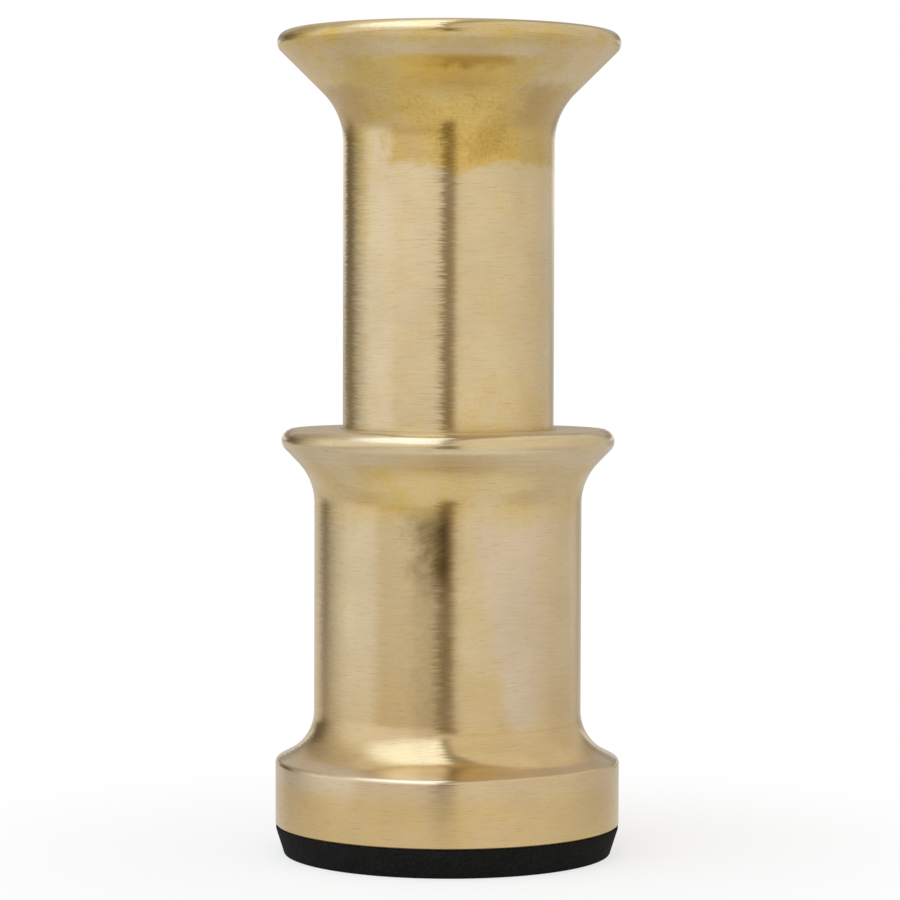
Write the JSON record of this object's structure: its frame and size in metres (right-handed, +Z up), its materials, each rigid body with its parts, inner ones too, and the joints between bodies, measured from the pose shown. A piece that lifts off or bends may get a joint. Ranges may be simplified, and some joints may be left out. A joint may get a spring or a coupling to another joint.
{
  "type": "hair stacker",
  "caption": "Turned brass hair stacker for fly tying: a tube with a funnel mouth that lifts out of a rimmed cup on a rubber foot pad, used to even up the tips of hair.",
  "frame": {"origin": "centre of the foot pad's underside, where the part stands on a table", "axes": "+Z up along the turning axis, out of the barrel's mouth; X and Y are any pair square to it, because the part is round"},
  "size_m": [0.0318, 0.0318, 0.0754],
  "materials": {
    "barrel_brass": "fine turned satin, with a faint golden tarnish under the mouth",
    "cup_brass": "fine turned satin",
    "pad_rubber": "matte black, cut edge"
  },
  "bodies": {
    "base": {"base_cup": "cup_brass", "foot_pad": "pad_rubber"},
    "barrel": {"flared_barrel": "barrel_brass"}
  },
  "joints": [
    {"name": "barrel_lift", "type": "slide", "parent": "base", "child": "barrel", "axis": [0, 0, 1], "range_m": [0, 0.034]}
  ]
}
